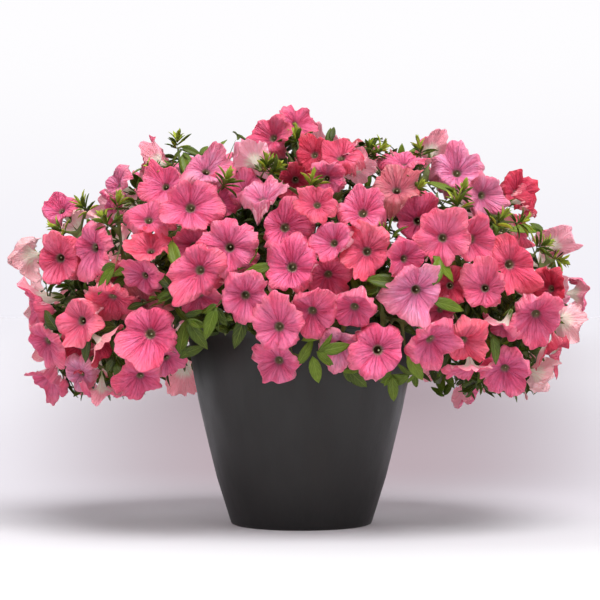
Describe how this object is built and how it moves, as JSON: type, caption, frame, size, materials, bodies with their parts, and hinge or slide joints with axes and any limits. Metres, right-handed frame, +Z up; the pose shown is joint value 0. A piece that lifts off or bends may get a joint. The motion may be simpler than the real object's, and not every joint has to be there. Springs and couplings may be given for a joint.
{
  "type": "potted spreading petunia",
  "caption": "Spreading petunia in a tapered round planter: soil, arching leafy stems and a wide mound of five-lobed trumpet blooms.",
  "frame": {"origin": "centre of the pot's flat base, on the surface that it stands on", "axes": "+Z up, +X to the right of the pictured front along the widest way of the mound, +Y away from the viewer"},
  "size_m": [0.6769, 0.5265, 0.5022],
  "materials": {
    "pot": "satin charcoal",
    "soil": "rough, dark, moist",
    "petals": "soft matte coral pink with darker veins",
    "leaves": "soft, finely hairy green"
  },
  "bodies": {
    "root": {"pot": "pot", "soil": "soil", "flowering_stem_01": "petals", "flowering_stem_02": "petals", "flowering_stem_03": "petals", "flowering_stem_04": "petals", "flowering_stem_05": "petals", "flowering_stem_06": "petals", "flowering_stem_07": "petals", "flowering_stem_08": "petals", "flowering_stem_09": "petals", "flowering_stem_10": "petals", "flowering_stem_11": "petals", "flowering_stem_12": "petals", "flowering_stem_13": "petals", "flowering_stem_14": "petals", "flowering_stem_15": "petals", "flowering_stem_16": "petals", "flowering_stem_17": "petals", "flowering_stem_18": "petals", "flowering_stem_19": "petals", "flowering_stem_20": "petals", "flowering_stem_21": "petals", "flowering_stem_22": "petals"}
  },
  "joints": []
}
